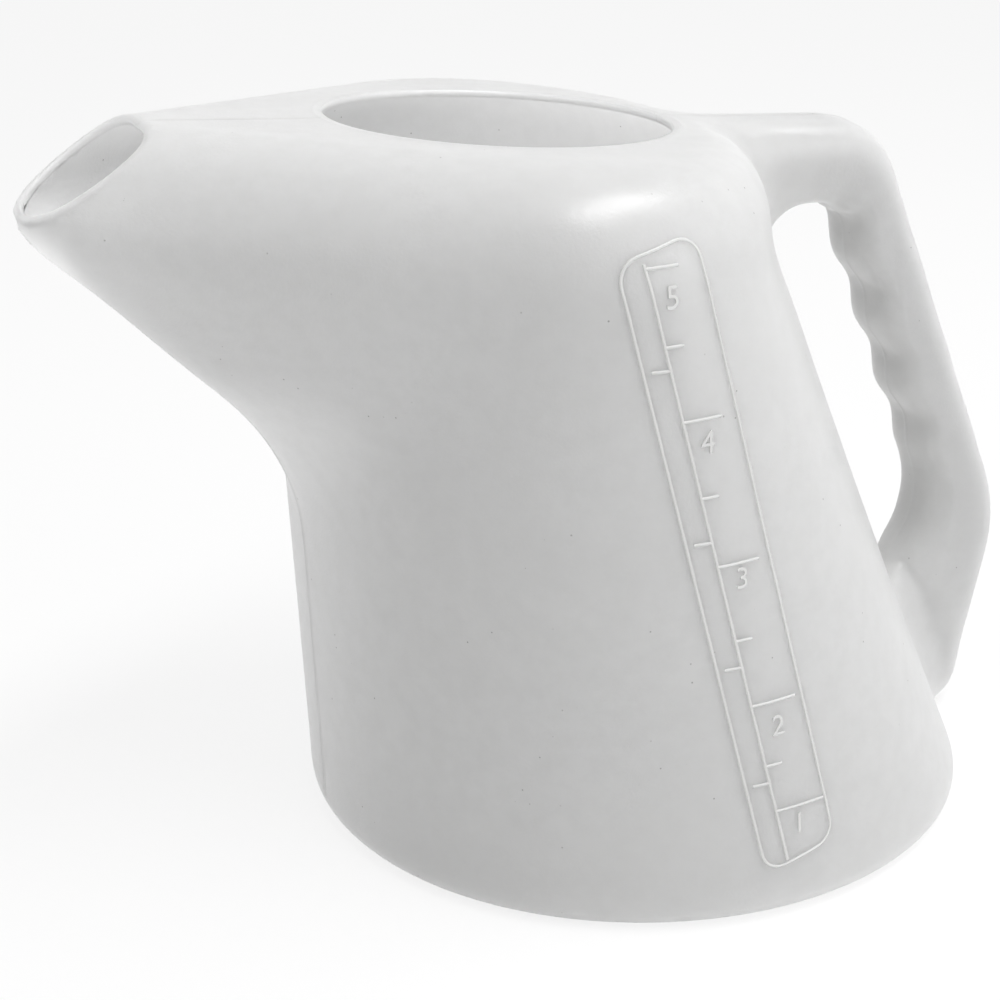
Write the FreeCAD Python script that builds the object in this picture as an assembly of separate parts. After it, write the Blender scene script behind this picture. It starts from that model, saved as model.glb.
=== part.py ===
import FreeCAD, Part
import math
import os
from FreeCAD import Vector

# Measuring jug: one blow-moulded shell. +Z is up, -X is the spout side, +X the handle side,
# and the origin is the middle of the foot ring, on the surface that the jug stands on.

# Body, in millimetres and degrees
base_radius = 103.0
shelf_height = 206.0
shelf_tilt = 4.65
front_lean = 1.0
back_lean = 22.8
side_draft = 1.1
base_corner = 8.0
shoulder_radius = 26.0
back_shoulder = 13.0
wall = 2.0
foot_width = 13.0
foot_recess = 2.5

# Spout
knee_height = 114.5
knee_radius = 60.0
spout_reach = 176.5
spout_rise = 43.0
spout_nose = 34.0
spout_chin = 10.0
spout_face_back = 36.3
spout_face_slope = 32.0
spout_lip = 5.0

# Mouth, on the shelf
mouth_radius = 49.0
mouth_offset = 41.0

# Handle: a hollow loop in the plane of the spout
handle_width = 30.0
handle_edge = 9.0
handle_flare = 15.0
handle_drop = 0.4
handle_start = 7.0
handle_seat = 7.0
handle_root = 20.0
bar_depth = 25.5
crown_radius = 23.0
web_radius = 16.0
web_depth = 30.0
grip_gap = 33.5
grip_height = 115.0
grip_depth = 20.0
grip_lean = 21.4
heel_height = 67.5
heel_radius = 50.0
heel_lean = 12.5
palm_radius = 28.0
toe_height = 4.0
toe_radius = 8.0
finger_pitch = 23.5
finger_count = 4
finger_start = 4.0
finger_depth = 2.4

# How finely the skins are sampled
ring_points = 72
outline_points = 6 * ring_points
corner_steps = 6
wall_steps = 36
shoulder_steps = 8
arc_steps = 24
handle_steps = (20, 10, 34, 10, 10, 6, 6)


def tan(angle):
    return math.tan(math.radians(angle))


def sin(angle):
    return math.sin(math.radians(angle))


def cos(angle):
    return math.cos(math.radians(angle))


def tilted(x, y, level):
    """A point of the body: levels are flat at the foot and lie along the tilted shelf at the top."""
    return Vector(x, y, level * (1 - tan(shelf_tilt) * x / shelf_height))


def rounded_corner(level, corner, lean_below, lean_above, radius):
    """Reach of two straight lines that meet at corner = (reach, level), joined by an arc."""
    reach, height = corner
    tangent = radius * tan(abs(lean_above - lean_below) / 2)
    start = height - tangent * cos(lean_below)
    end = height + tangent * cos(lean_above)
    if level <= start:
        return reach - (height - level) * tan(lean_below)
    if level >= end:
        return reach + (level - height) * tan(lean_above)
    side = 1 if lean_above > lean_below else -1
    centre_reach = reach - (height - start) * tan(lean_below) + side * radius * cos(lean_below)
    centre_level = start - side * radius * sin(lean_below)
    return centre_reach - side * math.sqrt(radius ** 2 - (level - centre_level) ** 2)


def nose_reach(level):
    """Foremost point of the jug at a level: up the front wall, round the knee, out to the spout."""
    underside = 90 - spout_rise
    knee = (base_radius + knee_height * tan(front_lean), knee_height)
    chin = (spout_reach, knee_height + (spout_reach - knee[0]) / tan(underside))
    if level < (knee_height + chin[1]) / 2:
        return rounded_corner(level, knee, front_lean, underside, knee_radius)
    return rounded_corner(level, chin, underside, 0.0, spout_chin)


def spread(points, count):
    """The open line through points, as count points at even steps from its start to its end."""
    lengths = [0.0]
    for a, b in zip(points, points[1:]):
        lengths.append(lengths[-1] + math.dist(a, b))
    result = []
    span = 0
    for index in range(count):
        target = lengths[-1] * index / (count - 1)
        while span < len(points) - 2 and lengths[span + 1] < target:
            span += 1
        share = (target - lengths[span]) / (lengths[span + 1] - lengths[span])
        a, b = points[span], points[span + 1]
        result.append((a[0] + (b[0] - a[0]) * share, a[1] + (b[1] - a[1]) * share))
    return result


def spread_round(points, count):
    """The closed outline through points, as count points at even steps along it."""
    return spread(points + points[:1], count + 1)[:-1]


def outline(level, inset, rounding):
    """Plan outline at a level: the body's oval and the spout's nose, wrapped in a tight band.

    It starts at the +Y side, so that the skin's seam runs clear of the spout and the handle.
    """
    level = min(level, shelf_height - shoulder_radius)
    front = base_radius + level * tan(front_lean)
    back = base_radius - level * tan(back_lean)
    half_width = base_radius - level * tan(side_draft)
    middle, half_length = (back - front) / 2, (back + front) / 2
    nose = spout_nose - nose_reach(level)
    points = []
    for step in range(outline_points):
        angle = 2 * math.pi * (step / outline_points + 0.25)
        c, s = math.cos(angle), math.sin(angle)
        oval = math.hypot(half_length * c, half_width * s)
        oval_inset = inset + rounding * (1 - (1 - back_shoulder / shoulder_radius) * ((1 + c) / 2) ** 4)
        nose_radius = spout_nose - inset - rounding
        if middle * c + oval - oval_inset >= nose * c + nose_radius:
            x = middle + half_length ** 2 * c / oval - oval_inset * c
            y = half_width ** 2 * s / oval - oval_inset * s
        else:
            x = nose + nose_radius * c
            y = nose_radius * s
        points.append((x, y))
    return spread_round(points, ring_points)


def skin(rings):
    """A closed solid through rings of equally many points, with a flat cap on its first and last."""
    around = list(range(len(rings[0]) + 1))
    along = [0.0]
    for a, b in zip(rings, rings[1:]):
        along.append(along[-1] + sum(p.distanceToPoint(q) for p, q in zip(a, b)) / len(a))
    loops = []
    for ring in rings:
        loop = Part.BSplineCurve()
        loop.interpolate(Points=ring, PeriodicFlag=True, Parameters=around)
        loops.append(loop)
    ribs = []
    for poles in zip(*(loop.getPoles() for loop in loops)):
        rib = Part.BSplineCurve()
        rib.interpolate(Points=list(poles), Parameters=along)
        ribs.append(rib)
    surface = Part.BSplineSurface()
    surface.buildFromPolesMultsKnots([rib.getPoles() for rib in ribs],
                                     loops[0].getMultiplicities(), ribs[0].getMultiplicities(),
                                     loops[0].getKnots(), ribs[0].getKnots(), True, False, 3, 3)
    side = surface.toShape()
    ends = [edge for edge in side.Edges if edge.isClosed()]
    caps = [Part.Face(Part.Wire([edge])) for edge in ends]
    shell = Part.makeShell([side] + caps)
    shell.sewShape()
    return Part.Solid(shell)


def body(inset):
    """The body's solid, drawn in by inset: the base corner, the wall and the shoulder."""
    corner, shoulder = base_corner - inset, shoulder_radius - inset
    start, end = base_corner, shelf_height - shoulder_radius
    stations = []
    for step in range(corner_steps + 1):
        angle = 90 * step / corner_steps
        stations.append((start - corner * cos(angle), corner * (1 - sin(angle))))
    for step in range(1, wall_steps):
        stations.append((start + (end - start) * step / wall_steps, 0.0))
    for step in range(shoulder_steps + 1):
        angle = 90 * step / shoulder_steps
        stations.append((end + shoulder * sin(angle), shoulder * (1 - cos(angle))))
    rings = []
    for level, rounding in stations:
        rings.append([tilted(x, y, level) for x, y in outline(level, inset, rounding)])
    return skin(rings)


def shelf_point(x):
    """The point of the shelf above x, in the plane of the spout and the handle."""
    return tilted(x, 0, shelf_height)


def meeting(a, lean_a, b, lean_b):
    """Where two lines in the plane of the handle meet; each leans from the vertical, outward below."""
    level = (b[0] + b[1] * tan(lean_b) - a[0] - a[1] * tan(lean_a)) / (tan(lean_b) - tan(lean_a))
    return (a[0] + (a[1] - level) * tan(lean_a), level)


def runs(points, radii):
    """The line through points as its straight legs and the arcs between them, in order."""
    result = []
    last = points[0]
    for (px, pz), (qx, qz), (rx, rz), radius in zip(points, points[1:], points[2:], radii):
        before = math.atan2(qz - pz, qx - px)
        turn = (math.atan2(rz - qz, rx - qx) - before + math.pi) % (2 * math.pi) - math.pi
        tangent = radius * math.tan(abs(turn) / 2)
        side = math.copysign(radius, turn)
        start = (qx - tangent * math.cos(before), qz - tangent * math.sin(before))
        centre = (start[0] - side * math.sin(before), start[1] + side * math.cos(before))
        arc = []
        for step in range(arc_steps + 1):
            angle = before + turn * step / arc_steps
            arc.append((centre[0] + side * math.sin(angle), centre[1] - side * math.cos(angle)))
        result += [[last, arc[0]], arc]
        last = arc[-1]
    return result + [[last, points[-1]]]


def handle_paths():
    """The loop's outer and inner outlines, as pairs of stations from the shelf to the foot."""
    wall_x = base_radius - grip_height * tan(back_lean)
    inner = (wall_x + grip_gap, grip_height)
    outer = (inner[0] + grip_depth / cos(grip_lean), grip_height)
    top = (handle_start, shelf_point(handle_start).z - handle_drop)
    under = (handle_start, top[1] - bar_depth)
    bar_lean = 90 - shelf_tilt
    crown = meeting(top, bar_lean, outer, grip_lean)
    armpit = meeting(under, bar_lean, inner, grip_lean)
    web = meeting(under, bar_lean, (wall_x, grip_height), back_lean)
    web_foot = (web[0] + web_depth * tan(back_lean) - 2 * wall, web[1] - web_depth)
    seat = (web_foot[0] - handle_seat, web_foot[1])
    heel = (outer[0] + (grip_height - heel_height) * tan(grip_lean), heel_height)
    palm = (inner[0] + (grip_height - heel_height) * tan(grip_lean), heel_height)
    toe = (heel[0] - (heel_height - toe_height) * tan(heel_lean), toe_height)
    foot = (base_radius - base_corner / 2, toe_height)
    root = (base_radius - handle_root, heel_height - handle_root)
    end = (base_radius - handle_root, toe_height + handle_root)
    outer_runs = runs([top, crown, heel, toe, foot], [crown_radius, heel_radius, toe_radius])
    inner_runs = runs([web_foot, web, armpit, palm, root, end],
                      [web_radius, handle_edge, palm_radius, handle_edge])
    inner_runs = [[seat] + inner_runs[0] + inner_runs[1] + inner_runs[2]] + inner_runs[3:]
    outside, within = [], []
    for outer_run, inner_run, count in zip(outer_runs, inner_runs, handle_steps):
        outer_run, inner_run = spread(outer_run, count + 1), spread(inner_run, count + 1)
        if count == max(handle_steps):
            inner_run = fingered(inner_run)
        outside += outer_run[:-1]
        within += inner_run[:-1]
    return outside + [foot], within + [end]


def fingered(grip):
    """The grip's inner run with its finger rests, counted from its lower end."""
    result = []
    for x, z in grip:
        along = (math.dist((x, z), grip[-1]) - finger_start) / finger_pitch
        depth = 0.0
        if 0 < along < finger_count:
            depth = finger_depth * (1 - math.cos(2 * math.pi * along)) / 2
        result.append((x + depth * cos(grip_lean), z + depth * sin(grip_lean)))
    return result


def flare(point):
    """Extra half-width of the handle's bar close to the body, where it spreads into the shoulder."""
    if point.z < grip_height:
        return 0.0
    clear = (point.x - base_radius + point.z * tan(back_lean)) * cos(back_lean)
    share = min(max(1 - clear / handle_flare, 0), 1)
    return handle_flare * (1 - math.sqrt(1 - share ** 2))


def handle(inset):
    """The handle's solid, drawn in by inset: a rounded bar between its outer and inner outlines."""
    rings = []
    for (ox, oz), (ix, iz) in zip(*handle_paths()):
        middle = Vector((ox + ix) / 2, 0, (oz + iz) / 2)
        across = Vector(ox - ix, 0, oz - iz)
        half_depth = across.Length / 2 - inset
        across.normalize()
        half_width = handle_width / 2 - inset + flare(middle)
        section = rounded_rectangle(half_width, half_depth, handle_edge - inset)
        rings.append([middle + Vector(0, y, 0) + across * d for y, d in section])
    return skin(rings)


def rounded_rectangle(half_width, half_depth, radius):
    """A rounded rectangle about the origin, as ring_points points."""
    points = []
    for quarter in range(4):
        cx = (half_width - radius) * (1 if quarter in (0, 3) else -1)
        cy = (half_depth - radius) * (1 if quarter < 2 else -1)
        for step in range(arc_steps + 1):
            angle = 90 * (quarter + step / arc_steps)
            points.append((cx + radius * cos(angle), cy + radius * sin(angle)))
    return spread_round(points, ring_points)


def dish(lift):
    """The push-up under the foot: what the ring foot leaves open."""
    radius = base_radius - base_corner - foot_width
    return Part.makeCone(radius, radius - foot_recess, foot_recess + lift, Vector(0, 0, 0))


def mouth_opening():
    """The round hole in the shelf, trimmed square to it."""
    cutter = Part.makeCylinder(mouth_radius, 4 * wall, Vector(0, 0, -2 * wall))
    cutter.rotate(Vector(0, 0, 0), Vector(0, 1, 0), shelf_tilt)
    cutter.translate(shelf_point(-mouth_offset))
    return cutter


def above_face(depth):
    """All that lies above the spout's slanted face, or above a plane at a depth below it."""
    size = 2 * spout_reach
    block = Part.makeBox(size, size, size, Vector(-size / 2, -size / 2, -depth))
    block.rotate(Vector(0, 0, 0), Vector(0, 1, 0), -spout_face_slope)
    block.translate(shelf_point(spout_face_back - spout_reach))
    return block


def jug():
    outside = body(0).fuse(handle(0)).cut(dish(0)).cut(above_face(0))
    inside = body(wall).fuse(handle(wall)).cut(dish(wall)).cut(above_face(wall))
    spout_opening = body(spout_lip).common(above_face(2 * wall))
    return outside.cut(mouth_opening()).cut(spout_opening).cut(inside)


os.makedirs("parts", exist_ok=True)
jug().exportStep("parts/jug.step")
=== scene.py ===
# %% [markdown]
# # A blow-moulded measuring jug
#
# The jug is one skin of milky polyethylene, blown inside a two-part mould. It has a wide round
# body, a covered spout, a filling mouth with a trimmed edge, a hollow handle and a raised scale.
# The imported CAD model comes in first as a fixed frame. Everything below is made around it, in
# metres, with +Z up, the spout towards -X and the handle towards +X.

import math

import bmesh
import bpy
from mathutils import Matrix, Quaternion, Vector
from mathutils.bvhtree import BVHTree


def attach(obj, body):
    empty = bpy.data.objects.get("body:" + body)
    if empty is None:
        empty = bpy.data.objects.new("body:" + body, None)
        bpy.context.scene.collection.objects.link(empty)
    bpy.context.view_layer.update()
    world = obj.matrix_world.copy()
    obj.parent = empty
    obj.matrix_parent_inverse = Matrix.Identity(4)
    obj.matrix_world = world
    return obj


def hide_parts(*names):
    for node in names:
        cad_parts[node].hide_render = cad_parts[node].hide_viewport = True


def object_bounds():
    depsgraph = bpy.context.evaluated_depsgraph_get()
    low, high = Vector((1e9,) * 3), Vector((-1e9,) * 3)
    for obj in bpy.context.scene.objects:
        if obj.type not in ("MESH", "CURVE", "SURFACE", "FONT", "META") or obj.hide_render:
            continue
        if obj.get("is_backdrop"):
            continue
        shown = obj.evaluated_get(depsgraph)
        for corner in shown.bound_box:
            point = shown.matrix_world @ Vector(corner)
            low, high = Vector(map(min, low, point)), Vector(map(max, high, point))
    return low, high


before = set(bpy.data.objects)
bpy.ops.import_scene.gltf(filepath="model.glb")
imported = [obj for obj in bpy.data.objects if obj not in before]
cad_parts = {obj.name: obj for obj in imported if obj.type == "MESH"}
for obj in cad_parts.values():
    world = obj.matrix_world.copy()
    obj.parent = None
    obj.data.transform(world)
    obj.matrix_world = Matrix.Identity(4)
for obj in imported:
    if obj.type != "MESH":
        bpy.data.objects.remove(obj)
cad_low, cad_high = (list(corner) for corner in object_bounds())
mm = 0.001
print("the CAD box, in mm:", [round((b - a) / mm, 1) for a, b in zip(cad_low, cad_high)])

# %% [markdown]
# ## Sizes
#
# A jug like this is drawn from a few numbers: a round foot, a shelf that tilts down towards the
# handle, and a back wall that leans forward so that the hand fits behind it. The spout is a
# slope that leaves the front wall at the knee. The numbers are the ones the CAD part uses, but
# for the lip of the spout, which is narrower here.

# %% Body, spout and mouth, in millimetres and degrees
base_radius = 103.0
shelf_height = 206.0
shelf_tilt = 4.65
front_lean = 1.0
back_lean = 22.8
side_draft = 1.1
base_corner = 8.0
shoulder_radius = 26.0
back_shoulder = 13.0
wall = 2.0
foot_width = 13.0
foot_recess = 2.5

knee_height = 114.5
knee_radius = 60.0
spout_reach = 176.5
spout_rise = 43.0
spout_nose = 34.0
spout_chin = 10.0
spout_face_back = 36.3
spout_face_slope = 32.0
spout_lip = 2.4

mouth_radius = 49.0
mouth_offset = 41.0


def tan(angle):
    return math.tan(math.radians(angle))


def sin(angle):
    return math.sin(math.radians(angle))


def cos(angle):
    return math.cos(math.radians(angle))


# %% [markdown]
# ## The outline at each level
#
# Seen from above, every level of the body is an oval and the round nose of the spout, wrapped
# together as if by a tight band. Low down the nose hides inside the oval. Above the knee it
# travels forward, and the band pulls into a teardrop. The nose's path up the front is two
# straight lines joined by an arc, so one small function gives it. The shoulder is rounder at the
# front and sides than at the back, where it fades to its own smaller size.

# %% The nose's path
def rounded_corner(level, corner, lean_below, lean_above, radius):
    """Reach at a level along two lines that meet at corner = (reach, level), joined by an arc."""
    reach, height = corner
    tangent = radius * tan(abs(lean_above - lean_below) / 2)
    start = height - tangent * cos(lean_below)
    end = height + tangent * cos(lean_above)
    if level <= start:
        return reach - (height - level) * tan(lean_below)
    if level >= end:
        return reach + (level - height) * tan(lean_above)
    side = 1 if lean_above > lean_below else -1
    centre_reach = reach - (height - start) * tan(lean_below) + side * radius * cos(lean_below)
    centre_level = start - side * radius * sin(lean_below)
    return centre_reach - side * math.sqrt(radius ** 2 - (level - centre_level) ** 2)


def nose_reach(level):
    """How far the nose stands forward: up the front wall, round the knee, out to the spout."""
    underside = 90 - spout_rise
    knee = (base_radius + knee_height * tan(front_lean), knee_height)
    chin = (spout_reach, knee_height + (spout_reach - knee[0]) / tan(underside))
    if level < (knee_height + chin[1]) / 2:
        return rounded_corner(level, knee, front_lean, underside, knee_radius)
    return rounded_corner(level, chin, underside, 0.0, spout_chin)


# %% The band around the oval and the nose
columns = 58
fine_steps = columns * 8
back_fade = 4


def tilted(x, y, level):
    """A point in metres: levels are flat at the foot and follow the tilted shelf at the top."""
    return Vector((x, y, level * (1 - tan(shelf_tilt) * x / shelf_height))) * mm


def spread(points, count):
    """The open line through points, as count points at even steps from its start to its end."""
    lengths = [0.0]
    for a, b in zip(points, points[1:]):
        lengths.append(lengths[-1] + math.dist(a, b))
    result, span = [], 0
    for index in range(count):
        target = lengths[-1] * index / (count - 1)
        while span < len(points) - 2 and lengths[span + 1] < target:
            span += 1
        share = (target - lengths[span]) / (lengths[span + 1] - lengths[span])
        a, b = points[span], points[span + 1]
        result.append((a[0] + (b[0] - a[0]) * share, a[1] + (b[1] - a[1]) * share))
    return result


def outline(level, rounding=0.0):
    """The teardrop at a level, drawn in by rounding where the shoulder or the base corner turns."""
    level = min(level, shelf_height - shoulder_radius)
    front = base_radius + level * tan(front_lean)
    back = base_radius - level * tan(back_lean)
    half_width = base_radius - level * tan(side_draft)
    middle, half_length = (back - front) / 2, (back + front) / 2
    nose = spout_nose - nose_reach(level)
    nose_radius = spout_nose - rounding
    points = []
    for step in range(fine_steps):
        angle = 2 * math.pi * step / fine_steps
        c, s = math.cos(angle), math.sin(angle)
        oval = math.hypot(half_length * c, half_width * s)
        inset = rounding * (1 - (1 - back_shoulder / shoulder_radius) * ((1 + c) / 2) ** back_fade)
        if middle * c + oval - inset >= nose * c + nose_radius:
            points.append((middle + half_length ** 2 * c / oval - inset * c,
                           half_width ** 2 * s / oval - inset * s))
        else:
            points.append((nose + nose_radius * c, nose_radius * s))
    return spread(points + points[:1], columns + 1)[:-1]


# %% [markdown]
# ## The body's rings
#
# A skin that curves everywhere is easiest to shape as a coarse cage that a Subdivision Surface
# rounds. The cage starts as one circle at the foot. Each next ring is an extrusion of the open
# edge, and its corners are then put on the outline of the next level: round the base corner, up
# the wall, over the shoulder, across the shelf and down into the mouth. Rings lie close together
# where the skin turns and far apart where it is straight.

# %% Growing a cage ring by ring
def loop_edges(bm, ring):
    return [bm.edges.get(pair) for pair in zip(ring, ring[1:] + ring[:1])]


def extruded(bm, ring, places):
    """Extrudes the closed open edge along ring and puts the new ring's corners at places."""
    grown = bmesh.ops.extrude_edge_only(bm, edges=loop_edges(bm, ring))["geom"]
    fresh = {item for item in grown if isinstance(item, bmesh.types.BMVert)}
    following = []
    for vert in ring:
        following.append(next(e.other_vert(vert) for e in vert.link_edges if e.other_vert(vert) in fresh))
    for vert, place in zip(following, places):
        vert.co = place
    return following


def level_ring(level, rounding=0.0):
    return [tilted(x, y, level) for x, y in outline(level, rounding)]


# %% The wall, from the base corner to the edge of the shelf
wall_levels = [8, 14, 20, 26, 32, 38, 44, 50, 60, 72, 85, 98, 109, 119, 129, 139, 150, 165, 180]
corner_angles = [0, 30, 60]
shoulder_angles = [30, 60, 90]

bm = bmesh.new()
first = bmesh.ops.create_circle(bm, segments=columns, radius=base_radius * mm)["verts"]
rings = {}
for angle in corner_angles:
    level, rounding = base_corner * (1 - cos(angle)), base_corner * (1 - sin(angle))
    places = level_ring(level, rounding)
    if angle == 0:
        for vert, place in zip(first, places):
            vert.co = place
        ring = first
    else:
        ring = extruded(bm, ring, places)
for level in wall_levels:
    ring = rings[level] = extruded(bm, ring, level_ring(level))
for angle in shoulder_angles:
    level = shelf_height - shoulder_radius * (1 - sin(angle))
    rounding = shoulder_radius * (1 - cos(angle))
    ring = rings["shoulder", angle] = extruded(bm, ring, level_ring(level, rounding))
print("cage rings so far:", len(rings) + len(corner_angles))

# %% [markdown]
# ## Shelf and mouth
#
# The shelf is flat, so its rings only need to travel from the teardrop to the round mouth. The
# corners of the mouth's rings sit halfway between even steps and straight lines from the
# teardrop's corners, so that no face gets too thin. The mould leaves a low bead round the
# place where the mouth is knifed out, and the hole inside it has a plain trimmed edge.

# %% The rings of the shelf, the bead and the mouth
mouth_middle = Vector((-mouth_offset, 0, shelf_height + tan(shelf_tilt) * mouth_offset))
shelf_turn = Matrix.Rotation(math.radians(shelf_tilt), 3, "Y")
edge_places = [vert.co.copy() for vert in ring]


def mouth_ring(radius, lift):
    """A ring about the mouth's middle, in metres, lifted square to the shelf."""
    places = []
    for index, place in enumerate(edge_places):
        even = 2 * math.pi * index / columns
        straight = math.atan2(place.y, place.x - mouth_middle.x * mm) % (2 * math.pi)
        angle = (even + straight) / 2
        offset = Vector((radius * math.cos(angle), radius * math.sin(angle), lift))
        places.append((mouth_middle + shelf_turn @ offset) * mm)
    return places


bead = [(3.6, 0), (2.8, 0.28), (2.1, 0.3), (1.6, 0.05), (0, 0)]
shelf_shares = (0.1, 0.5)
bead_start = mouth_ring(mouth_radius + bead[0][0], 0)
for share in shelf_shares:
    ring = extruded(bm, ring, [a.lerp(b, share) for a, b in zip(edge_places, bead_start)])
for outward, lift in bead:
    ring = extruded(bm, ring, mouth_ring(mouth_radius + outward, lift))

# %% [markdown]
# ## The foot
#
# A blown bottle stands on a ring, because its base is pushed up in the middle: a flat base
# would bulge and rock. The first circle is still open below, so the same extrusions run inward
# from it: across the ring foot, up into the push-up, and to a small cap in the middle.

# %% The ring foot and the push-up
foot_outer = base_radius - base_corner
foot_inner = foot_outer - foot_width
foot_profile = [(foot_outer - 1, 0), (foot_inner + 1, 0), (foot_inner, 0.2)]
foot_profile += [(radius, foot_recess) for radius in (foot_inner - foot_recess, foot_inner - 8, 50, 25, 6)]
ring = first
for radius, height in foot_profile:
    places = [Vector((vert.co.x, vert.co.y, 0)).normalized() * radius * mm for vert in ring]
    ring = extruded(bm, ring, [Vector((p.x, p.y, height * mm)) for p in places])
bmesh.ops.contextual_create(bm, geom=loop_edges(bm, ring))

# %% [markdown]
# ## The handle
#
# The handle is a tube that leaves the back shoulder, turns down at the crown, follows the lean
# of the back wall and runs into the wall again near the base. In the mould it is one cavity
# with the body, so its skin flows into the body without a seam. Here a patch of the body's cage
# is taken out at both places, the upper hole's edge is extruded along the loop, and its last
# ring is bridged to the lower hole. The Subdivision Surface turns both joins into soft valleys.

# %% Sizes of the loop
handle_width = 30.0
handle_flare = 15.0
handle_drop = 0.4
handle_start = 24.0
handle_root = 20.0
bar_depth = 25.5
crown_radius = 23.0
web_radius = 16.0
web_depth = 30.0
grip_gap = 33.5
grip_height = 115.0
grip_depth = 19.7
grip_lean = 21.4
heel_height = 67.5
heel_radius = 50.0
heel_lean = 12.5
armpit_radius = 9.0
palm_radius = 28.0
palm_share = 0.7
toe_height = 4.0
finger_pitch = 23.5
finger_count = 4
finger_start = 4.0
finger_depth = 2.4
run_steps = (5, 4, 18, 6)
arc_steps = 16
squareness = 0.68


# %% Straight runs and the arcs between them
def meeting(a, lean_a, b, lean_b):
    """Where two lines in the plane of the handle meet; each leans from the vertical."""
    level = (b[0] + b[1] * tan(lean_b) - a[0] - a[1] * tan(lean_a)) / (tan(lean_b) - tan(lean_a))
    return (a[0] + (a[1] - level) * tan(lean_a), level)


def runs(points, radii):
    """The line through points as its straight legs and the arcs between them, in order."""
    result, last = [], points[0]
    for (px, pz), (qx, qz), (rx, rz), radius in zip(points, points[1:], points[2:], radii):
        before = math.atan2(qz - pz, qx - px)
        turn = (math.atan2(rz - qz, rx - qx) - before + math.pi) % (2 * math.pi) - math.pi
        tangent = radius * math.tan(abs(turn) / 2)
        side = math.copysign(radius, turn)
        start = (qx - tangent * math.cos(before), qz - tangent * math.sin(before))
        centre = (start[0] - side * math.sin(before), start[1] + side * math.cos(before))
        angles = [before + turn * step / arc_steps for step in range(arc_steps + 1)]
        arc = [(centre[0] + side * math.sin(a), centre[1] - side * math.cos(a)) for a in angles]
        result += [[last, arc[0]], arc]
        last = arc[-1]
    return result + [[last, points[-1]]]


# %% [markdown]
# The outer outline is drawn first, then the inner one. The inner outline starts as a web: an
# arc from the back wall up to the underside of the bar, so that the hand meets no corner. On
# the grip it gets four shallow finger rests, which are a cosine wave. Both outlines are then
# cut into the same runs: bar, crown, grip and heel. A ring of the tube spans each pair of points.

# %% The outer and inner outlines
wall_x = base_radius - grip_height * tan(back_lean)
inner = (wall_x + grip_gap, grip_height)
outer = (inner[0] + grip_depth / cos(grip_lean), grip_height)
top = (handle_start, shelf_height - handle_start * tan(shelf_tilt) - handle_drop)
under = (handle_start, top[1] - bar_depth)
bar_lean = 90 - shelf_tilt
web = meeting(under, bar_lean, (wall_x, grip_height), back_lean)
web_foot = (web[0] + web_depth * tan(back_lean), web[1] - web_depth)
palm = (inner[0] + (grip_height - heel_height) * tan(grip_lean), heel_height)
root = (base_radius - handle_root, heel_height - handle_root)
palm_end = tuple(a + (b - a) * palm_share for a, b in zip(palm, root))
heel = (outer[0] + (grip_height - heel_height) * tan(grip_lean), heel_height)
toe = (heel[0] - (heel_height - toe_height) * tan(heel_lean), toe_height)
crown = meeting(top, bar_lean, outer, grip_lean)
armpit = meeting(under, bar_lean, inner, grip_lean)
outer_runs = runs([top, crown, heel, toe], [crown_radius, heel_radius])
inner_runs = runs([web_foot, web, armpit, palm, palm_end], [web_radius, armpit_radius, palm_radius])
inner_runs = [inner_runs[1] + inner_runs[2][1:]] + inner_runs[3:]
for joined in (outer_runs, inner_runs):
    joined[-2:] = [joined[-2] + joined[-1][1:]]


def fingered(grip):
    """The grip's inner run with its finger rests, counted from its lower end."""
    result = []
    for x, z in grip:
        along = (math.dist((x, z), grip[-1]) - finger_start) / finger_pitch
        depth = finger_depth * (1 - math.cos(2 * math.pi * along)) / 2 if 0 < along < finger_count else 0
        result.append((x + depth * cos(grip_lean), z + depth * sin(grip_lean)))
    return result


outside, inside = [], []
for outer_run, inner_run, steps in zip(outer_runs, inner_runs, run_steps):
    outer_run, inner_run = spread(outer_run, steps + 1), spread(inner_run, steps + 1)
    inner_run = fingered(inner_run) if steps == max(run_steps) else inner_run
    outside += outer_run[:-1]
    inside += inner_run[:-1]
outside.append(toe)
inside.append(palm_end)
print("rings along the handle:", len(outside))

# %% [markdown]
# Each ring of the tube is a squircle: softer than a rounded rectangle, which is what a blown
# tube with flat mould faces becomes. Close to the body the rings grow wider, so the bar spreads
# into the shoulder.

# %% One ring of the tube
section_angles = []
for start, step, count in ((135, -15, 6), (45, -18, 5), (-45, -15, 6), (-135, -18, 5)):
    section_angles += [start + step * index for index in range(count)]


def squircle(value):
    """A sine or cosine, pushed out towards the corners."""
    return math.copysign(abs(value) ** squareness, value)


def spreading(x, z):
    """Extra half-width of the bar at a point close to the body's back wall."""
    clear = (x - base_radius + z * tan(back_lean)) * cos(back_lean)
    share = min(max(1 - clear / handle_flare, 0), 1) if z > grip_height else 0
    return handle_flare * (1 - math.sqrt(1 - share ** 2))


def tube_ring(outer, inner):
    middle = Vector((outer[0] + inner[0], 0, outer[1] + inner[1])) / 2
    across = Vector((outer[0] - inner[0], 0, outer[1] - inner[1])) / 2
    half_width = handle_width / 2 + spreading(middle.x, middle.z)
    places = []
    for angle in section_angles:
        aside = Vector((0, half_width * squircle(cos(angle)), 0))
        places.append((middle + across * squircle(sin(angle)) + aside) * mm)
    return places


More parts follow.
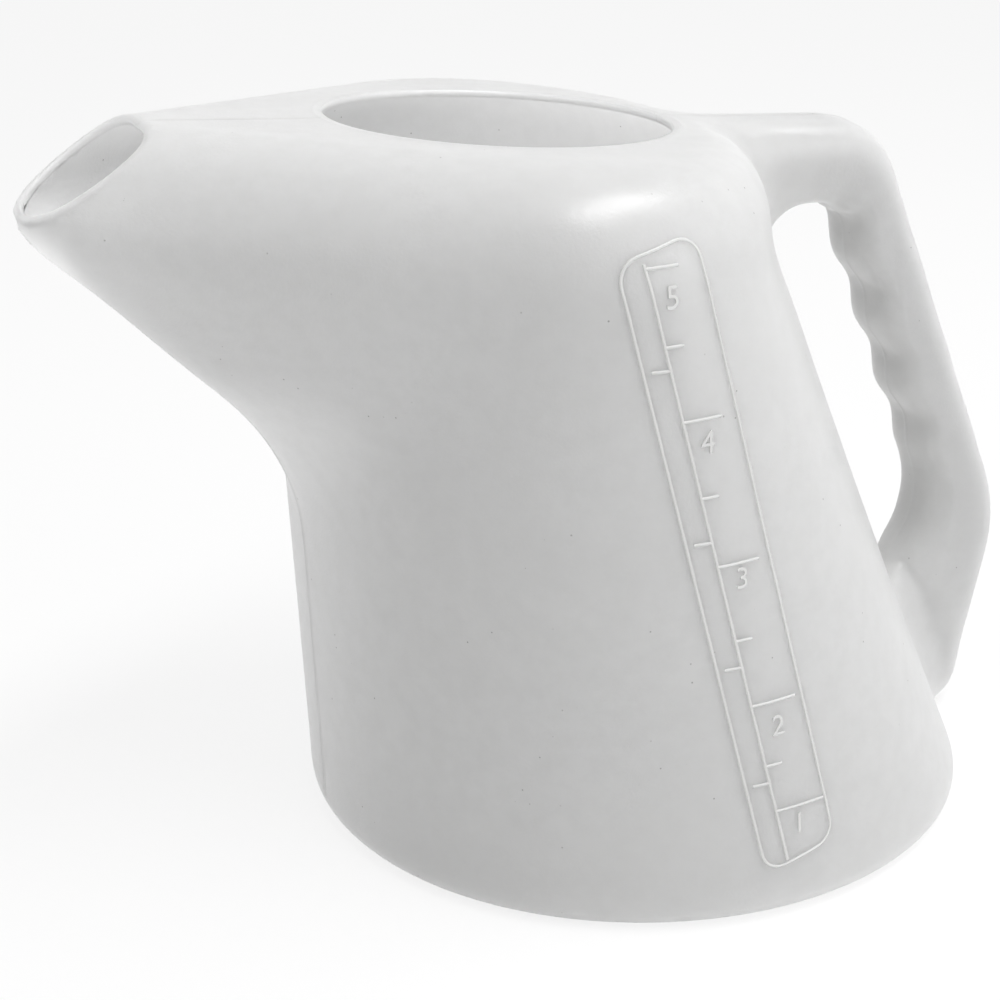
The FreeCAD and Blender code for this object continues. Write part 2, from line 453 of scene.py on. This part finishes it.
# %% Cutting the two patches and drawing the tube between them
def cut_patch(stack, reach):
    """Takes the faces between the rings in stack out, and returns the hole's edge in order."""
    across = list(range(-reach, reach + 1))
    edge = [stack[0][i] for i in across] + [level[reach] for level in stack[1:-1]]
    edge += [stack[-1][i] for i in reversed(across)] + [level[-reach] for level in reversed(stack[1:-1])]
    faces = []
    for a, b in zip(stack, stack[1:]):
        for i in across[:-1]:
            corners = {a[i], a[i + 1], b[i], b[i + 1]}
            faces.append(next(f for f in a[i].link_faces if set(f.verts) == corners))
    bmesh.ops.delete(bm, geom=faces, context="FACES")
    return edge


shoulder_rings = [rings["shoulder", angle] for angle in (90, 60, 30)]
ring = cut_patch(shoulder_rings + [rings[180], rings[165], rings[150]], 3)
lower_edge = cut_patch([rings[level] for level in (8, 14, 20, 26, 32, 38, 44, 50)], 2)
for outer_point, inner_point in zip(outside, inside):
    ring = extruded(bm, ring, tube_ring(outer_point, inner_point))
bmesh.ops.bridge_loops(bm, edges=loop_edges(bm, ring) + loop_edges(bm, lower_edge))
bm.verts.index_update()
join = {vert.index for vert in lower_edge}
bmesh.ops.recalc_face_normals(bm, faces=bm.faces)
print("cage faces:", len(bm.faces), "open edges:", sum(e.is_boundary for e in bm.edges))

# %% Rounding the cage
def new_piece(name, bm):
    mesh = bpy.data.meshes.new(name)
    bm.to_mesh(mesh)
    bm.free()
    mesh.shade_smooth()
    piece = bpy.data.objects.new(name, mesh)
    bpy.context.scene.collection.objects.link(piece)
    return piece


def settled(piece):
    """The piece's mesh with its modifiers applied, as a bmesh."""
    bpy.context.view_layer.update()
    finished = piece.evaluated_get(bpy.context.evaluated_depsgraph_get())
    bm = bmesh.new()
    bm.from_mesh(finished.to_mesh())
    finished.to_mesh_clear()
    return bm


# %% [markdown]
# A Subdivision Surface always cuts a little inside its cage, most where the cage turns fast.
# The sizes above are sizes of the skin and not of the cage. So each corner is pushed out by
# what the rounded skin misses it by, three times over, after which the skin passes through them.
# The flat shelf and the flat foot need no push, and their corners stay. The corners where the
# handle runs back into the body stay too, because a moulded jug has a soft fillet there.

# %% Pushing the cage out until its skin fits
shelf_back = 17.0
pushes = 3


def on_flat(place):
    """Whether a corner lies on the flat shelf or on the foot that the jug stands on."""
    above_shelf = place.z - shelf_height * mm + place.x * tan(shelf_tilt)
    return place.z < 0.3 * mm or (place.x < shelf_back * mm and abs(above_shelf) < 0.5 * mm)


wanted = [vert.co.copy() for vert in bm.verts]
cage = new_piece("cage", bm)
rounding = cage.modifiers.new("rounding", "SUBSURF")
rounding.levels = rounding.render_levels = 1
for attempt in range(pushes):
    skin = settled(cage)
    skin.verts.ensure_lookup_table()
    misses = [place - skin.verts[index].co for index, place in enumerate(wanted)]
    misses = [miss * 0 if on_flat(place) or index in join else miss
              for index, (miss, place) in enumerate(zip(misses, wanted))]
    for vert, miss in zip(cage.data.vertices, misses):
        vert.co += miss
    print("worst miss before the push, in mm:", round(max(miss.length for miss in misses) / mm, 2))
    skin.free()
rounding.levels = rounding.render_levels = 2
bm = settled(cage)
bpy.data.objects.remove(cage)

# %% [markdown]
# The push can carry the skin up to half a millimetre past the box that the CAD part fills.
# Every corner outside it is drawn back to its sides, so both stay the same overall size.

# %% Keeping inside the CAD box
def in_box(place):
    return [min(max(value, low), high) for value, low, high in zip(place, cad_low, cad_high)]


for vert in bm.verts:
    vert.co = in_box(vert.co)

# %% [markdown]
# ## Opening the spout
#
# The tip of the spout is sliced off by a slanted face, and the pouring hole is knifed out of
# that face, which leaves a lip all round. The slice is a bisecting plane, the face is filled and
# inset in small steps, and its middle is taken out. The corner round the lip is then smoothed.

# %% The slanted face and its hole
lip_steps = 3
lip_relaxing = 5
shortest_edge = 0.5


def relax(verts):
    bmesh.ops.smooth_vert(bm, verts=verts, factor=0.5, use_axis_x=True, use_axis_y=True, use_axis_z=True)


face_start = Vector((spout_face_back - spout_reach, 0, 0))
face_start.z = shelf_height - face_start.x * tan(shelf_tilt)
face_normal = Vector((-sin(spout_face_slope), 0, cos(spout_face_slope)))
sliced = bmesh.ops.bisect_plane(bm, geom=bm.verts[:] + bm.edges[:] + bm.faces[:], plane_co=face_start * mm,
                                plane_no=face_normal, clear_outer=True, dist=1e-5)
rim = [item for item in sliced["geom_cut"] if isinstance(item, bmesh.types.BMVert)]
bmesh.ops.remove_doubles(bm, verts=rim, dist=shortest_edge * mm)
rim = [vert for vert in bm.verts if vert.is_boundary
       and abs((vert.co - face_start * mm).dot(face_normal)) < 1e-5]
rim_edges = [edge for edge in bm.edges if edge.is_boundary and all(vert in rim for vert in edge.verts)]
face = bmesh.ops.contextual_create(bm, geom=rim_edges)["faces"][0]
for step in range(lip_steps):
    bmesh.ops.inset_region(bm, faces=[face], thickness=spout_lip / lip_steps * mm, use_even_offset=True)
    relax(face.verts[:])
bmesh.ops.delete(bm, geom=[face], context="FACES_ONLY")
near_rim = {other for vert in rim for edge in vert.link_edges for other in edge.verts}
near_rim |= {other for vert in near_rim for edge in vert.link_edges for other in edge.verts}
for step in range(lip_relaxing):
    relax([vert for vert in near_rim if not vert.is_boundary])
print("corners round the lip:", len(rim))

# %% [markdown]
# ## The parting line
#
# The two halves of the mould meet in the plane of the handle, and the plastic stands up a little
# along that line. The skin gets an edge on each side of the plane, and the corners between
# them are lifted along their normals.

# %% Raising the parting line
seam_width = 0.9
seam_height = 0.22
for side in (-1, 1):
    bmesh.ops.bisect_plane(bm, geom=bm.verts[:] + bm.edges[:] + bm.faces[:],
                           plane_co=(0, side * seam_width / 2 * mm, 0), plane_no=(0, 1, 0), dist=1e-5)
bm.normal_update()
seam = [v for v in bm.verts if abs(v.co.y) < 1e-5 and v.co.z > base_corner * mm and not v.is_boundary]
for vert in seam:
    vert.co = in_box(vert.co + vert.normal * seam_height * mm)
print("corners along the parting line:", len(seam))

# %% [markdown]
# ## The wall
#
# Up to here the jug is a skin without thickness. The wall grows inwards from it, so that its
# sizes outside stay as they are, and its edge shows at the mouth and at the spout.

# %% Thickness
bmesh.ops.recalc_face_normals(bm, faces=bm.faces)
skin = BVHTree.FromBMesh(bm)
jug = new_piece("jug_shell", bm)
thickness = jug.modifiers.new("wall", "SOLIDIFY")
thickness.thickness = wall * mm
thickness.offset = -1
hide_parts("jug")
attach(jug, "root")

# %% [markdown]
# ## A way to write shaders
#
# A finish is a few patterns and some arithmetic on them. A `Value` stands for one output of a
# node, and Python's own plus and times on it add the Math nodes. Every other node comes
# from `Finish.node`, which takes its type, its settings and what goes into its sockets.

# %% Values and finishes
class Value:
    """One output in a finish. Arithmetic on it adds a Math node."""

    def __init__(self, finish, socket):
        self.finish = finish
        self.socket = socket

    def maths(self, operation, first, second):
        return self.finish.node("ShaderNodeMath", {"operation": operation}, {0: first, 1: second})

    def __add__(self, other):
        return self.maths("ADD", self, other)

    def __mul__(self, other):
        return self.maths("MULTIPLY", self, other)

    __radd__ = __add__
    __rmul__ = __mul__


class Finish:
    """A material or a world that grows node by node."""

    def __init__(self, owner, shader="Principled BSDF"):
        self.owner = owner
        self.owner.use_nodes = True
        self.nodes = self.owner.node_tree.nodes
        self.shader = self.nodes[shader]

    def feed(self, socket, value):
        if isinstance(value, Value):
            self.owner.node_tree.links.new(value.socket, socket)
        else:
            socket.default_value = value

    def node(self, kind, settings, inputs, output=0):
        """One node of a kind, its settings made first, its sockets filled with numbers or values."""
        made = self.nodes.new(kind)
        for name, value in settings.items():
            setattr(made, name, value)
        for name, value in inputs.items():
            self.feed(made.inputs[name], value)
        return Value(self, made.outputs[output])

    def place(self):
        return self.node("ShaderNodeTexCoord", {}, {}, output="Object")

    def noise(self, size, detail=2.0, roughness=0.5):
        """Soft noise from 0 to 1 whose blotches are about size millimetres across."""
        return self.node("ShaderNodeTexNoise", {}, {
            "Vector": self.place(), "Scale": 1 / (size * mm), "Detail": detail, "Roughness": roughness})

    def between(self, value, start, end):
        """0 where value is at start, 1 where it is at end, and an even curve in between."""
        return self.node("ShaderNodeMapRange", {"interpolation_type": "SMOOTHSTEP"}, {
            "Value": value, "From Min": start, "From Max": end})

    def blend(self, share, first, second):
        """Two colours mixed by share."""
        return self.node("ShaderNodeMix", {"data_type": "RGBA"}, {0: share, 6: first, 7: second}, output=2)

    def seen_directly(self):
        """1 for what the camera, a gloss or a clear wall sees, and 0 for the light on the jug."""
        camera, glossy, clear = [self.node("ShaderNodeLightPath", {}, {}, output=f"Is {ray} Ray")
                                 for ray in ("Camera", "Glossy", "Transmission")]
        return camera.maths("MAXIMUM", camera.maths("MAXIMUM", camera, glossy), clear)


# %% [markdown]
# ## Milky polyethylene
#
# Natural polyethylene is a milky grey-white that light soaks into, so it gets subsurface
# scattering over a couple of centimetres. That is far more than the wall, so the inside of the
# jug is lit through it. The blown wall is slightly uneven, which shows as faint clouds. The
# mould was grit-blasted, so the skin has a fine grain that breaks up its gloss, and a few specks
# of dust and regrind sit in it. Scattering makes solids as thin as the beads of the scale too
# dark, so they get a version without it. Its colour is painted darker, a painted shade that
# makes the beads about as bright as the wall behind them.

# %% Milky polyethylene
def milky_polyethylene(name, whiteness, depth):
    """The plastic, at a whiteness from 0 to 1 and with its light soaking in by a share of depth."""
    finish = Finish(bpy.data.materials.new(name))
    pale, cloudy = [(shade, shade, shade * 0.992, 1) for shade in (whiteness, whiteness * 0.94)]
    dull = (whiteness * 0.88, whiteness * 0.877, whiteness * 0.862, 1)
    clouds = finish.noise(60.0, detail=3.0)
    mottle = finish.noise(6.0, detail=4.0, roughness=0.6)
    grain = finish.noise(0.9, detail=3.0, roughness=0.6)
    dimples = finish.noise(3.2, detail=2.0)
    dots = finish.node("ShaderNodeTexVoronoi", {}, {"Vector": finish.place(), "Scale": 1 / (5.0 * mm)})
    patches = finish.noise(23.0, detail=1.0)
    specks = finish.between(dots, 0.065, 0.035) * finish.between(patches, 0.52, 0.60)
    colour = finish.blend(finish.between(clouds, 0.35, 0.65), cloudy, pale)
    colour = finish.blend(finish.between(mottle, 0.30, 0.75) * 0.30, colour, dull)
    colour = finish.blend(specks * 0.55, colour, (0.16, 0.15, 0.13, 1))
    finish.feed(finish.shader.inputs["Base Color"], colour)
    finish.feed(finish.shader.inputs["Roughness"], 0.24 + grain * 0.10 + mottle * 0.06)
    relief = finish.node("ShaderNodeBump", {}, {
        "Height": grain * 0.7 + dimples * 0.5, "Strength": 0.35, "Distance": 0.00025})
    finish.feed(finish.shader.inputs["Normal"], relief)
    finish.shader.inputs["IOR"].default_value = 1.5
    finish.shader.inputs["Subsurface Weight"].default_value = depth
    finish.shader.inputs["Subsurface Radius"].default_value = (1.0, 1.0, 1.0)
    finish.shader.inputs["Subsurface Scale"].default_value = 0.022
    return finish.owner


polyethylene = milky_polyethylene("milky polyethylene", 0.93, 1.0)
# painted shade: the relief's copy of the plastic gets a darker colour, so that without scattering it
# renders about as bright as the wall
painted_shade_relief = milky_polyethylene("milky polyethylene relief", 0.58, 0.0)
jug.data.materials.append(polyethylene)
print("nodes in the polyethylene:", len(polyethylene.node_tree.nodes))

# %% [markdown]
# ## The raised scale
#
# The mould engraves its scale, so on the jug it stands up as thin round beads. A ray from the
# near side finds the skin behind each point of a line, and a bead is laid there, sunk a little so
# that it grows out of the wall. A leaning frame holds the scale. A divider runs down it, with a
# long tick for each litre, a short one for each half, and short ones on the other side.

# %% Laying a bead on the skin
bead_radius = 0.6
bead_sink = 0.34
bead_step = 1.5
ray_start = -0.3


def skin_at(x, z):
    """The place on the near side of the skin at (x, z) in millimetres, and its normal."""
    place, normal, face, distance = skin.ray_cast(Vector((x * mm, ray_start, z * mm)), Vector((0, 1, 0)))
    return place, normal


def bead_centre(x, z):
    place, normal = skin_at(x, z)
    centre = place - normal * bead_sink * mm
    centre.y = max(centre.y, cad_low[1] + bead_radius * mm)
    return centre


def as_mesh(name, curve):
    """A curve or a text as a mesh of its own."""
    carrier = bpy.data.objects.new(name, curve)
    bpy.context.scene.collection.objects.link(carrier)
    bpy.context.view_layer.update()
    mesh = bpy.data.meshes.new_from_object(carrier.evaluated_get(bpy.context.evaluated_depsgraph_get()))
    bpy.data.objects.remove(carrier)
    return mesh


def stepped(corners):
    """Points about a bead step apart along the straight lines through corners."""
    points = [corners[0]]
    for a, b in zip(corners, corners[1:]):
        count = max(1, round(math.dist(a, b) / bead_step))
        points += [(a[0] + (b[0] - a[0]) * i / count, a[1] + (b[1] - a[1]) * i / count)
                   for i in range(1, count + 1)]
    return points


def beads(name, lines):
    """One mesh with a round bead along each line of (x, z) corners."""
    curve = bpy.data.curves.new(name, "CURVE")
    curve.dimensions = "3D"
    curve.bevel_depth = bead_radius * mm
    curve.bevel_resolution = 2
    curve.use_fill_caps = True
    for corners in lines:
        closed = corners[0] == corners[-1]
        points = stepped(corners)[:-1] if closed else stepped(corners)
        spline = curve.splines.new("POLY")
        spline.points.add(len(points) - 1)
        for point, (x, z) in zip(spline.points, points):
            point.co = (*bead_centre(x, z), 1)
        spline.use_cyclic_u = closed
    return as_mesh(name, curve)


def moulded(name, mesh):
    """A piece of the jug's own plastic."""
    mesh.materials.clear()
    mesh.materials.append(painted_shade_relief)
    piece = bpy.data.objects.new(name, mesh)
    bpy.context.scene.collection.objects.link(piece)
    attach(piece, "root")
    return piece


# %% The frame, the divider and the ticks
panel_lean = 13.7
panel_middle = (-20.8, 118.4)
panel_half_width = 11.35
panel_bottom = -103.0
panel_top = 77.0
panel_corner = 6.0
divider_at = -4.4
corner_points = 7
litre_levels = (189.0, 149.3, 109.0, 67.4, 34.2)
litre_ticks = (9.0, 11.0, 12.5, 14.0, 15.5)
half_levels = (169.1, 128.4, 87.2, 48.6)
fine_levels = (163.1, 116.1, 79.5, 43.4)
short_tick = 5.0


def on_panel(across, up):
    """(x, z) of a point given along and across the leaning frame."""
    x = panel_middle[0] + across * cos(panel_lean) - up * sin(panel_lean)
    z = panel_middle[1] + across * sin(panel_lean) + up * cos(panel_lean)
    return x, z


def frame_line():
    """The frame's rounded rectangle, as a closed line."""
    half = panel_half_width - panel_corner
    corners = [(half, panel_top - panel_corner, 0), (-half, panel_top - panel_corner, 90),
               (-half, panel_bottom + panel_corner, 180), (half, panel_bottom + panel_corner, 270)]
    line = []
    for across, up, start in corners:
        for step in range(corner_points):
            angle = start + 90 * step / (corner_points - 1)
            line.append(on_panel(across + panel_corner * cos(angle), up + panel_corner * sin(angle)))
    return line + line[:1]


divider = [on_panel(divider_at, panel_top - 2), on_panel(divider_at, panel_bottom + 1)]


def divider_x(level):
    """Where the leaning divider is at a level."""
    top, bottom = divider
    return top[0] + (level - top[1]) / (bottom[1] - top[1]) * (bottom[0] - top[0])


lines = [frame_line(), divider]
for level, length in zip(litre_levels, litre_ticks):
    lines.append([(divider_x(level), level), (divider_x(level) + length, level)])
lines += [[(divider_x(level), level), (divider_x(level) + short_tick, level)] for level in half_levels]
lines += [[(divider_x(level) - short_tick, level), (divider_x(level), level)] for level in fine_levels]
scale = moulded("scale_lines", beads("scale_lines", lines))
print("beads in the scale:", len(lines), "faces:", len(scale.data.polygons))

# %% The numbers of the scale
number_size = 8.5
number_thickness = 0.35
number_places = {5: (-35.6, 181.2), 4: (-25.9, 142.9), 3: (-15.8, 104.5), 2: (-4.5, 59.9), 1: (2.6, 28.7)}


def number(value):
    """A plain numeral standing on the skin, upright and square to it."""
    text = bpy.data.curves.new("number", "FONT")
    text.body = str(value)
    text.size = number_size * mm
    text.extrude = number_thickness * mm
    text.align_x = "CENTER"
    text.align_y = "CENTER"
    mesh = as_mesh("number", text)
    place, outward = skin_at(*number_places[value])
    across = Vector((0, 0, 1)).cross(outward).normalized()
    up = outward.cross(across)
    frame_turn = Matrix((across, up, outward)).transposed().to_4x4()
    mesh.transform(Matrix.Translation(place) @ frame_turn)
    return mesh


for value in number_places:
    moulded(f"number_{value}", number(value))
print("numbers:", list(number_places))

# %% [markdown]
# ## Stage, lights and camera
#
# A long soft lamp overhead lights the shelf and lays a gloss on the near shoulder, and a wide one
# in front fills in. The world is a plain grey for the light it gives, and white where
# the camera, a gloss or a clear wall looks at it. The floor does the same but keeps the shadow.

# %% Lamps
def area_light(name, place, aim, length, width, energy):
    lamp = bpy.data.lights.new(name, "AREA")
    lamp.shape = "RECTANGLE"
    lamp.size = length
    lamp.size_y = width
    lamp.energy = energy
    light = bpy.data.objects.new(name, lamp)
    light.location = place
    light.rotation_euler = (Vector(aim) - Vector(place)).to_track_quat("-Z", "Y").to_euler()
    bpy.context.scene.collection.objects.link(light)


area_light("key", (0.2, -0.27, 1.15), (0, 0, 0.12), 1.0, 0.28, 8.5)
area_light("fill", (0.7, -1.1, 0.5), (0, 0, 0.1), 1.0, 1.0, 6)

# %% World and floor
world_light = 0.64
floor_shadow = 0.2

studio = Finish(bpy.data.worlds.new("studio"), shader="Background")
studio.feed(studio.shader.inputs["Strength"], world_light + studio.seen_directly() * (1 - world_light))
studio.shader.inputs["Color"].default_value = (1, 1, 1, 1)
bpy.context.scene.world = studio.owner

bm = bmesh.new()
bmesh.ops.create_grid(bm, x_segments=1, y_segments=1, size=4)
floor = new_piece("floor", bm)
paper = Finish(bpy.data.materials.new("white paper"))
paper.shader.inputs["Base Color"].default_value = (0.86, 0.86, 0.86, 1)
paper.shader.inputs["Roughness"].default_value = 0.9
glow = paper.node("ShaderNodeEmission", {}, {"Color": (1, 1, 1, 1), "Strength": 1.0})
lit = Value(paper, paper.shader.outputs[0])
surface = paper.node("ShaderNodeMixShader", {}, {
    0: paper.seen_directly() * (1 - floor_shadow), 1: lit, 2: glow})
paper.feed(paper.nodes["Material Output"].inputs["Surface"], surface)
floor.data.materials.append(paper.owner)
floor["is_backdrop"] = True

# %% Camera
lens = 71.0
camera_data = bpy.data.cameras.new("camera")
camera_data.lens = lens
camera_data.sensor_width = 36
camera = bpy.data.objects.new("camera", camera_data)
heading, pitch, roll = 20.82, 21.39, -1.59
direction = Vector((sin(heading) * cos(pitch), cos(heading) * cos(pitch), -sin(pitch)))
turn = direction.to_track_quat("-Z", "Y") @ Quaternion((0, 0, 1), math.radians(roll))
camera.location = (-0.2386, -0.5129, 0.3101)
camera.rotation_euler = turn.to_euler()
bpy.context.scene.collection.objects.link(camera)
bpy.context.scene.camera = camera
bpy.context.scene.view_settings.view_transform = "Standard"
